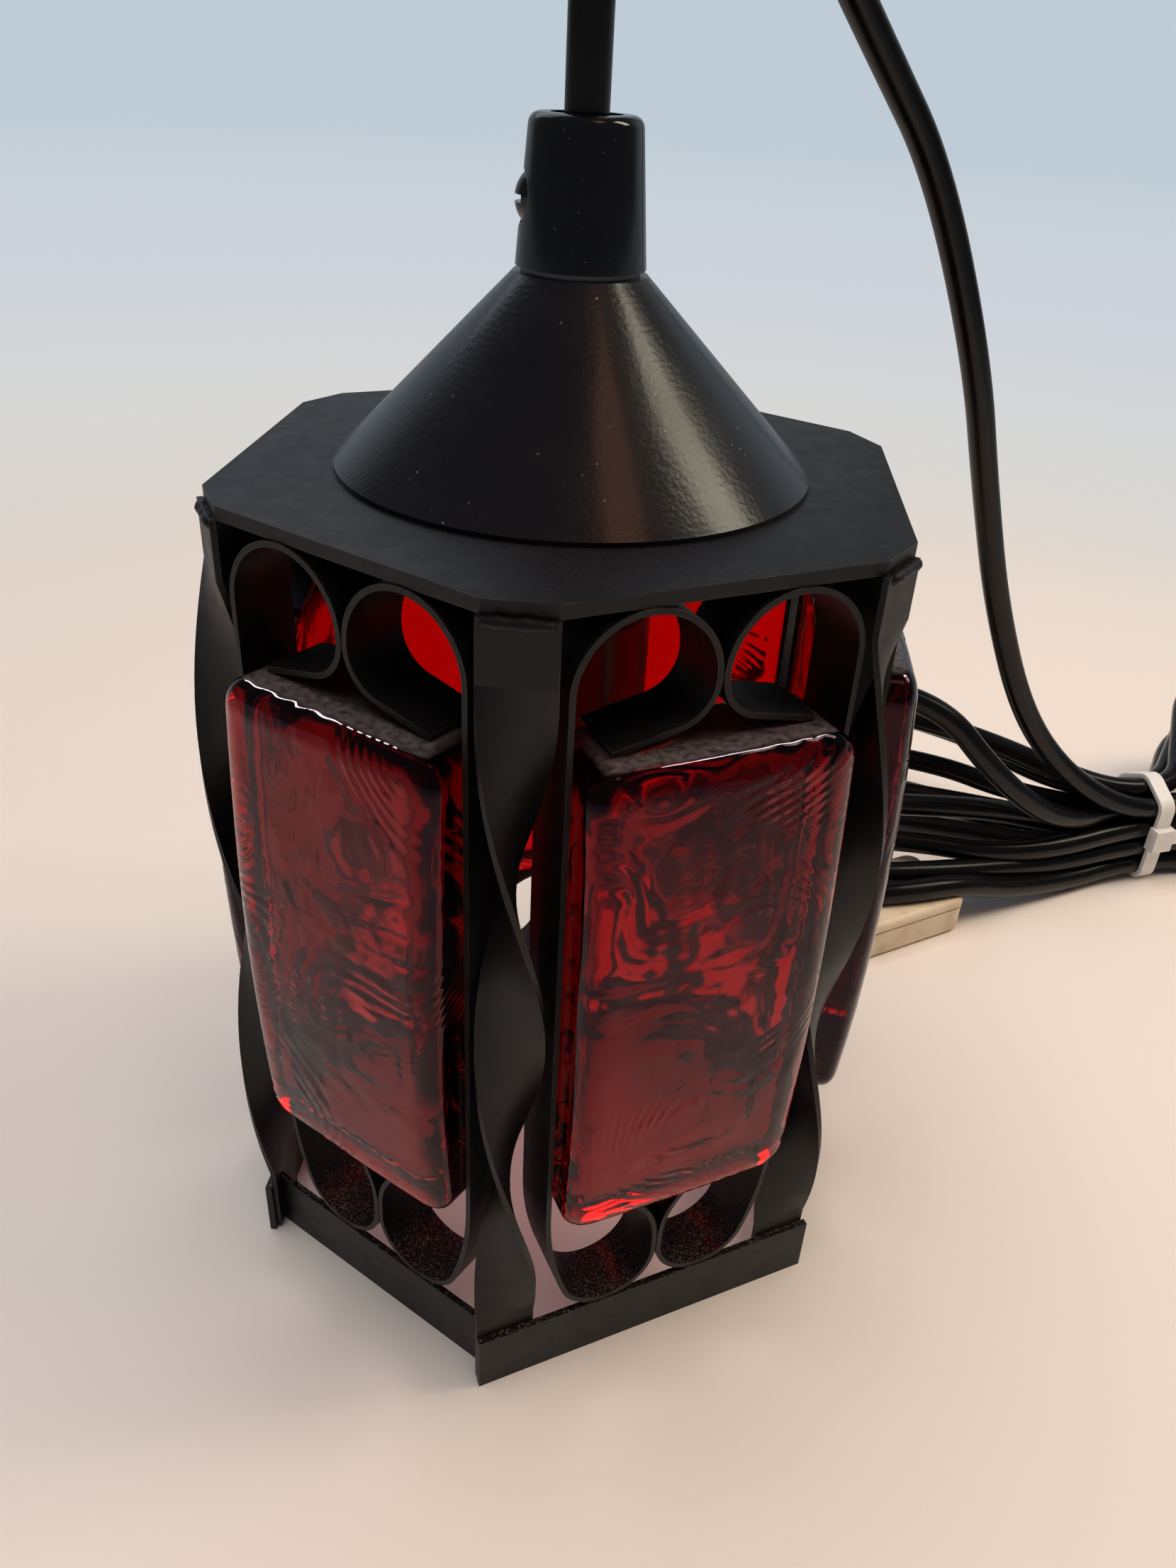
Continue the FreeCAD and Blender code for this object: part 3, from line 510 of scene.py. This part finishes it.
def creamMoulding():
    # old cream thermoplastic, yellowed and rubbed: semi-matt with dirt in its texture
    material, place = startMaterial("creamMoulding")
    grime = addNode(material, "TexNoise", {"Vector": place, "Scale": every(7), "Detail": 6.0})
    tooth = addNode(material, "TexNoise", {"Vector": place, "Scale": every(0.42), "Detail": 2.0})
    dirty = addNode(material, "MapRange", {"Value": grime, "From Min": 0.45, "From Max": 0.75,
                                           "To Max": 0.6})
    tone = addNode(material, "Mix", {0: dirty, 6: colour("#dfcfb2"), 7: colour("#b89f7c")},
                   data_type="RGBA")
    skin = addNode(material, "Bump", {"Height": tooth, "Strength": 0.25, "Distance": 0.00006})
    shader = addNode(material, "BsdfPrincipled", {
        "Base Color": tone.outputs[2], "Roughness": 0.44, "IOR": 1.5, "Normal": skin})
    return endMaterial(material, shader)


iron = blackPaintedIron()
spunSteel = lacqueredSpunSteel()
ruby = rubyCastGlass()
gripPlastic = glossBlackMoulding()
bakelite = phenolicMoulding()
steatite = glazedSteatite()
zinc = zincPlatedSteel()
brass = nickelledBrass()
pvc = softPvcSheath()
nylon = naturalNylon()
cream = creamMoulding()

paint(iron, "top_plate")
for k in range(1, 7):
    paint(iron, f"ring_bar_{k}", f"twisted_strip_{k}", f"scroll_{k}_left", f"scroll_{k}_right")
paint(spunSteel, "cone_cap")
paint(gripPlastic, "cord_grip", "grip_screw")
paint(zinc, "threaded_nipple", "plate_nuts", "grip_washer")
paint(bakelite, "holder_cap", "holder_skirt")
paint(steatite, "holder_core")
paint(brass, "thread_shell", "centre_contact", "terminal_screws", "plug_pins")
paint(pvc, "inner_cable", "lead_wires")
paint(nylon, "cable_tie")
paint(cream, "plug_body")
print("materials made")

mainsCable = makeCable(pvc)
print("cable laid")


plugSleeve = {
    "length": 0.022,
    "overlap": 0.0038,       # of the cable's end inside the plug and this cuff's own hold in it
    "thick": 0.0046,         # radius at the plug
    "thin": 0.0035,          # and at its free end, just over the cable's
    "ribs": 6,
    "groove": 0.00045,
    "plainLip": 0.1,         # share of its length at the free end that has no groove
    "lipStep": 0.0003,       # by which its very last ring is smaller
    "rings": 48,
    "around": 24,
}


def cableLine():
    # points along the cable's own curve, from the grip to the plug
    bare = mainsCable.data.copy()
    bare.bevel_depth = 0
    holder = bpy.data.objects.new("bareLine", bare)
    mesh = bpy.data.meshes.new_from_object(holder)
    line = [vertex.co.copy() for vertex in mesh.vertices]
    bpy.data.objects.remove(holder)
    return line


def pointAlong(line, distance):
    # place and direction this far along a line
    for a, b in zip(line, line[1:]):
        run = (b - a).length
        if distance <= run:
            return a + (b - a) * (distance / run), (b - a).normalized()
        distance -= run
    return line[-1], (line[-1] - line[-2]).normalized()


def makePlugSleeve():
    # ribbed cuff of the plug's moulding, along the cable
    line = cableLine()[::-1]
    rings, around = plugSleeve["rings"], plugSleeve["around"]
    verts, faces = [], []
    for i in range(rings + 1):
        share = i / rings
        centre, way = pointAlong(line, plugSleeve["overlap"] + plugSleeve["length"] * share)
        side = way.cross(Vector((0, 0, 1))).normalized()
        rise = side.cross(way)
        # a quarter turn back, so that the first groove starts just off the plug
        rib = max(0.0, math.sin(2 * math.pi * (plugSleeve["ribs"] * share - 0.25)))
        radius = plugSleeve["thick"] + (plugSleeve["thin"] - plugSleeve["thick"]) * share
        radius -= plugSleeve["groove"] * rib * (share < 1 - plugSleeve["plainLip"])
        if i == rings:
            radius -= plugSleeve["lipStep"]
        verts += [centre + (side * math.cos(2 * math.pi * j / around)
                            + rise * math.sin(2 * math.pi * j / around)) * radius
                  for j in range(around)]
    for i in range(rings):
        for j in range(around):
            a, b, following = i * around, (i + 1) * around, (j + 1) % around
            faces.append((a + j, a + following, b + following, b + j))
    faces.append(tuple(range(around)))
    faces.append(tuple(rings * around + j for j in range(around))[::-1])
    return meshPiece("plugSleeve", verts, faces, cream, "lantern")


makePlugSleeve()
print("plug sleeve moulded")


rubyBlock = {
    "step": 0.00065,           # mesh grid
    "cornerRadius": 0.0050,    # seen from the front
    "frontRadius": 0.0032,
    "backRadius": 0.0014,
    "rim": 0.0156,             # thickness at the edge
    "crown": 0.0024,           # bulge of the front face
    "dimple": 0.0042,          # width of one hammered dimple
    "dimpleDepth": 0.00008,
    "swell": 0.0002,           # slow waves of the front face
    "swellScale": 70,          # of them to the metre, as for the other scales here
    "swellSink": 0.8,          # share of a wave's height by which they lie lower
    "terrace": 0.0052,         # width of one frame of a nest on the back
    "terraceDepth": 0.00026,
    "terraceEdge": 0.35,       # share of a frame's width that its ragged edge takes
    "nestHeight": 0.46,        # share of half the height at which a nest's middle lies
    "nestSlim": 1.15,          # a frame's height for its width
    "nestShift": 0.31,         # of a frame, from one block to the next
    "wander": 0.0042,          # how far the frames stray
    "straySeed": 7,
    "wanderScale": 50,
    "ragged": 0.0003,          # and their edges
    "raggedScale": 260,
    "backSwell": 0.0004,       # slow waves of the back
    "backScale": 45,
    "fade": 0.006,             # from the rim to where the relief has its full depth
    "firstSeed": 1.3,
    "seedStep": 3.7,
}


def blockLattice(width, height, depth, step):
    # the corners and faces of a box's grid, as whole numbers
    counts = [max(2, round(size / step)) for size in (depth, width, height)]
    index, faces = {}, []

    def corner(key):
        if key not in index:
            index[key] = len(index)
        return index[key]

    for axis in range(3):
        first, second = [a for a in range(3) if a != axis]
        for side in (0, counts[axis]):
            for i in range(counts[first]):
                for j in range(counts[second]):
                    keys = []
                    for di, dj in ((0, 0), (1, 0), (1, 1), (0, 1)):
                        key = [0, 0, 0]
                        key[axis], key[first], key[second] = side, i + di, j + dj
                        keys.append(corner(tuple(key)))
                    faces.append(keys if side else keys[::-1])
    return counts, list(index), faces


def slowNoise(u, v, scale, seed):
    return noise.noise(Vector((u * scale, v * scale, seed)))


def strayed(u, v, scale, seed):
    return noise.noise_vector(Vector((u * scale, v * scale, seed)))


def moulded(u, v, halfHeight, seed):
    # back of a block: two nests of rough frames, one above the other, as flat terraces
    stray = strayed(u, v, rubyBlock["wanderScale"], seed) * rubyBlock["wander"]
    rough = strayed(u, v, rubyBlock["raggedScale"], seed) * rubyBlock["ragged"]
    x, y = u + stray.x + rough.x, v + stray.y + rough.y
    y -= halfHeight * rubyBlock["nestHeight"] * (1 if v > 0 else -1)
    reach = ((x * rubyBlock["nestSlim"]) ** 4 + y ** 4) ** 0.25 / rubyBlock["terrace"]
    reach += rubyBlock["nestShift"] * seed
    ramp = min(1, (reach % 1) / rubyBlock["terraceEdge"])
    height = ramp if int(reach) % 2 else 1 - ramp
    wave = slowNoise(u, v, rubyBlock["backScale"], seed + 20)
    return rubyBlock["terraceDepth"] * height + rubyBlock["backSwell"] * wave


def hammered(u, v, seed):
    # front of a block: shallow dimples over slow waves
    cell = noise.voronoi(Vector((u / rubyBlock["dimple"], v / rubyBlock["dimple"], seed)))
    dimple = rubyBlock["dimpleDepth"] * (1 - cell[0][0] ** 2 * 2)
    wave = slowNoise(u, v, rubyBlock["swellScale"], seed) - rubyBlock["swellSink"]
    return rubyBlock["swell"] * wave - dimple


def roundedPoint(w, u, v, depth, half, halfHeight):
    # moves a point of the box's surface onto its rounded edges
    edge = rubyBlock["frontRadius" if w > depth / 2 else "backRadius"]
    corner = rubyBlock["cornerRadius"]
    inner = Vector((min(max(w, edge), depth - edge),
                    min(max(u, corner - half), half - corner),
                    min(max(v, corner - halfHeight), halfHeight - corner)))
    off = Vector(((w - inner.x) / edge, (u - inner.y) / corner, (v - inner.z) / corner))
    if off.length > 1e-9:
        off.normalize()
    return inner.x + off.x * edge, inner.y + off.y * corner, inner.z + off.z * corner


def makeRubyBlock(k):
    low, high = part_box("glass_block_2")        # the one that faces +X
    back, half = low.x, high.y
    height, middle = high.z - low.z, (high.z + low.z) / 2
    halfHeight = height / 2
    depth = rubyBlock["rim"] + rubyBlock["crown"]
    counts, keys, faces = blockLattice(2 * half, height, depth, rubyBlock["step"])
    seed = rubyBlock["seedStep"] * k + rubyBlock["firstSeed"]
    reachSquare = half ** 2 + halfHeight ** 2
    verts = []
    for key in keys:
        w, u, v = roundedPoint(key[0] / counts[0] * depth, (key[1] / counts[1] - 0.5) * 2 * half,
                               (key[2] / counts[2] - 0.5) * height, depth, half, halfHeight)
        w -= rubyBlock["crown"] * (u * u + v * v) / reachSquare * w / depth
        # 0 at the rim and 1 well inside, so that the relief dies out at the edges
        inside = min(1, max(0, (half - abs(u)) / rubyBlock["fade"])) * min(1, max(0, (
            halfHeight - abs(v)) / rubyBlock["fade"]))
        if key[0] == counts[0]:
            w += hammered(u, v, seed) * inside
        if key[0] == 0:
            w += max(0, moulded(u, v, halfHeight, seed)) * inside
        verts.append(sidePoint(k, back + w, u, middle + v))
    piece = meshPiece(f"rubyBlock{k + 1}", verts, faces, ruby, "lantern")
    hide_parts(f"glass_block_{k + 1}")
    glassBlocks.objects.link(piece)


glassBlocks = bpy.data.collections.new("glassBlocks")    # what the glass's own lamps reach
# without a seed the clock sets how the frames stray, and no two runs give the same glass
noise.seed_set(rubyBlock["straySeed"])
for k in range(6):
    makeRubyBlock(k)
print("glass blocks cast")


weld = {
    "radius": 0.0009,
    "rough": 0.35,           # share by which a bead's radius wanders
    "lumps": 9,              # along a bead
    "ripple": 0.15,          # share by which the laid drops stand out
    "blunt": 8,              # power that rounds its ends, higher is blunter
    "tip": 0.15,             # its ends' radius for its own
    "stations": 16,
    "around": 8,
    "height": 0.1450,        # just under the plate
    "distance": 0.0557,      # axis to the outer face of a corner strip
    "half": 0.0047,
}


def weldBead(name, start, end, radius, seed):
    # a lumpy bead between two points
    line = end - start
    across = line.orthogonal().normalized()
    other = line.normalized().cross(across)
    stations, around = weld["stations"], weld["around"]
    verts, faces = [start], []
    for i in range(stations + 1):
        share = i / stations
        centre = start + line * share
        swell = math.sqrt(max(0.0, 1 - (2 * share - 1) ** weld["blunt"])) * (
            1 + weld["rough"] * noise.noise(Vector((share * weld["lumps"], seed, 0.5))))
        swell *= 1 + weld["ripple"] * math.sin(share * stations * math.pi)
        reach = max(radius * swell, radius * weld["tip"])
        for j in range(around):
            a = 2 * math.pi * j / around
            verts.append(centre + (across * math.cos(a) + other * math.sin(a)) * reach)
    verts.append(end)
    for j in range(around):
        faces.append((0, 1 + (j + 1) % around, 1 + j))
        last = 1 + stations * around
        faces.append((len(verts) - 1, last + j, last + (j + 1) % around))
        for i in range(stations):
            a, b = 1 + i * around, 1 + (i + 1) * around
            faces.append((a + j, a + (j + 1) % around, b + (j + 1) % around, b + j))
    return meshPiece(name, verts, faces, iron, "lantern")


for k in range(6):
    corner = math.radians(60 * k - 90)
    out = Vector((math.cos(corner), math.sin(corner), 0))
    along = Vector((-out.y, out.x, 0))
    top = out * weld["distance"] + Vector((0, 0, weld["height"]))
    reach = along * weld["half"]
    weldBead(f"plateWeld{k + 1}", top - reach, top + reach, weld["radius"], k + 0.4)
print("welds laid")


sweepFloor = {
    "size": 24.0,
    "plainTo": 0.26,       # radius up to which the cloth only shows the light that falls on it
    "backdropFrom": 0.62,  # radius from which it is all backdrop
    "near": "#ddd9d3",     # backdrop tone up to nearTo, from where it turns into the next
    "nearTo": 0.35,
    "middle": "#cdd3da",
    "middleAt": 1.1,
    "far": "#bfccd6",
    "farAt": 3.6,
    "mirrored": 0.5,       # share of the backdrop's light that glossy surfaces show
}


def paleStudioCloth():
    # matt cotton cloth, off-white, woven 2 threads to the millimetre, drawn as a fine grain;
    # beyond the object it turns into an evenly lit backdrop for what is seen or mirrored
    material, place = startMaterial("paleStudioCloth")
    level = addNode(material, "VectorMath", {0: place, 1: (1.0, 1.0, 0.0)}, operation="MULTIPLY")
    away = addNode(material, "VectorMath", {0: level}, operation="LENGTH").outputs["Value"]
    beyond = addNode(material, "MapRange", {
        "Value": away, "From Min": sweepFloor["plainTo"], "From Max": sweepFloor["backdropFrom"]},
        interpolation_type="SMOOTHSTEP")
    farther = addNode(material, "MapRange", {"Value": away, "From Min": sweepFloor["middleAt"],
                                             "From Max": sweepFloor["farAt"]})
    nearer = addNode(material, "MapRange", {"Value": away, "From Min": sweepFloor["nearTo"],
                                            "From Max": sweepFloor["middleAt"]})
    first = addNode(material, "Mix", {0: nearer, 6: colour(sweepFloor["near"]),
                                      7: colour(sweepFloor["middle"])}, data_type="RGBA")
    second = addNode(material, "Mix", {0: farther, 6: first.outputs[2],
                                       7: colour(sweepFloor["far"])}, data_type="RGBA")
    ray = addNode(material, "LightPath")
    dimmed = addNode(material, "MapRange", {"Value": ray.outputs["Is Glossy Ray"],
                                            "To Min": 1.0, "To Max": sweepFloor["mirrored"]})
    backdrop = addNode(material, "Emission", {"Color": second.outputs[2], "Strength": dimmed})
    weave = addNode(material, "TexNoise", {"Vector": place, "Scale": every(0.6), "Detail": 2.0})
    skin = addNode(material, "Bump", {"Height": weave, "Strength": 0.15, "Distance": 0.0001})
    cloth = addNode(material, "BsdfPrincipled", {
        "Base Color": colour("#ece4dc"), "Roughness": 0.9, "Normal": skin})
    seen = addNode(material, "Math", {0: ray.outputs["Is Camera Ray"],
                                      1: ray.outputs["Is Glossy Ray"]}, operation="MAXIMUM")
    shown = addNode(material, "Math", {0: seen, 1: ray.outputs["Is Transmission Ray"]},
                    operation="MAXIMUM")
    share = addNode(material, "Math", {0: beyond, 1: shown}, operation="MULTIPLY")
    both = addNode(material, "MixShader", {0: share, 1: cloth, 2: backdrop})
    return endMaterial(material, both)


def makeFloor():
    half = sweepFloor["size"] / 2
    mesh = bpy.data.meshes.new("sweepFloor")
    mesh.from_pydata([(-half, -half, 0), (half, -half, 0), (half, half, 0), (-half, half, 0)],
                     [], [(0, 1, 2, 3)])
    floor = bpy.data.objects.new("sweepFloor", mesh)
    bpy.context.scene.collection.objects.link(floor)
    mesh.materials.append(paleStudioCloth())


makeFloor()


lamps = {
    # place, what it points at, width and height, watts, colour, and what it is for: all,
    # matt keeps it out of mirrored light, glass keeps it to the glass blocks
    "windowPane": ((0.66, 0.165, 0.82), (0, 0, 0.10), (0.20, 0.44), 2.1, "#fbf0d6", "all"),
    "warmPane": ((0.28, -0.23, 0.98), (0, 0, 0.10), (0.20, 0.20), 0.24, "#ffb488", "all"),
    "leftPane": ((-0.61, 0.275, 0.82), (0, 0, 0.10), (0.09, 0.26), 4.2, "#fff8f0", "glass"),
    "rightPane": ((0.44, 0.25, 0.94), (0, 0, 0.10), (0.09, 0.26), 4.2, "#fff8f0", "glass"),
    "coolBack": ((-0.37, 0.79, 0.97), (0, 0, 0.10), (1.1, 0.7), 1.9, "#e2edff", "all"),
    "sideGlow": ((0.85, 0.21, 0.95), (0, 0, 0.05), (0.7, 0.7), 4.1, "#ffd3ac", "matt"),
    "inside": ((0, 0, 0.080), (0, 0, 0), (0.03, 0.03), 0.016, "#ffe9ee", "matt"),
    "overhead": ((-0.15, -0.05, 1.35), (0, 0, 0), (1.1, 1.1), 13.1, "#fdf6f4", "matt"),
}


def makeLamp(name, place, target, size, watts, tint, reaches):
    data = bpy.data.lights.new(name, "AREA")
    data.shape = "RECTANGLE"
    data.size, data.size_y = size
    data.energy = watts
    data.color = colour(tint)[:3]
    lamp = bpy.data.objects.new(name, data)
    lamp.location = place
    lamp.rotation_euler = (Vector(place) - Vector(target)).to_track_quat("Z", "Y").to_euler()
    lamp.visible_glossy = reaches != "matt"
    if reaches == "glass":
        lamp.light_linking.receiver_collection = glassBlocks
    bpy.context.scene.collection.objects.link(lamp)


for name, settings in lamps.items():
    makeLamp(name, *settings)


room = {"colour": "#dfe6ec", "strength": 0.12}


def makeWorld():
    # a dim room, with the backdrop standing behind the object up to about 40 degrees
    world = bpy.data.worlds.new("studioWorld")
    bpy.context.scene.world = world
    world.use_nodes = True
    world.node_tree.nodes.clear()
    way = addNode(world, "SeparateXYZ", {"Vector": addNode(world, "TexCoord").outputs["Generated"]})
    behind = addNode(world, "MapRange", {"Value": way.outputs["Y"], "From Min": 0.30,
                                         "From Max": 0.70}, interpolation_type="SMOOTHSTEP")
    lowered = addNode(world, "MapRange", {"Value": way.outputs["Z"], "From Min": 0.70,
                                          "From Max": 0.35}, interpolation_type="SMOOTHSTEP")
    wall = addNode(world, "Math", {0: behind, 1: lowered}, operation="MULTIPLY")
    ray = addNode(world, "LightPath")
    dimmed = addNode(world, "Math", {0: wall, 1: sweepFloor["mirrored"]}, operation="MULTIPLY")
    mirrored = addNode(world, "Math", {0: dimmed, 1: ray.outputs["Is Glossy Ray"]},
                       operation="MULTIPLY")
    seen = addNode(world, "Math", {0: ray.outputs["Is Camera Ray"],
                                   1: ray.outputs["Is Transmission Ray"]}, operation="MAXIMUM")
    shown = addNode(world, "Math", {0: seen, 1: mirrored}, operation="MAXIMUM")
    dim = addNode(world, "Background", {"Color": colour(room["colour"]),
                                        "Strength": room["strength"]})
    backdrop = addNode(world, "Background", {"Color": colour(sweepFloor["far"])})
    both = addNode(world, "MixShader", {0: shown, 1: dim, 2: backdrop})
    addNode(world, "OutputWorld", {"Surface": both})


makeWorld()
bpy.context.scene.view_settings.view_transform = "Standard"
print("stage lit")
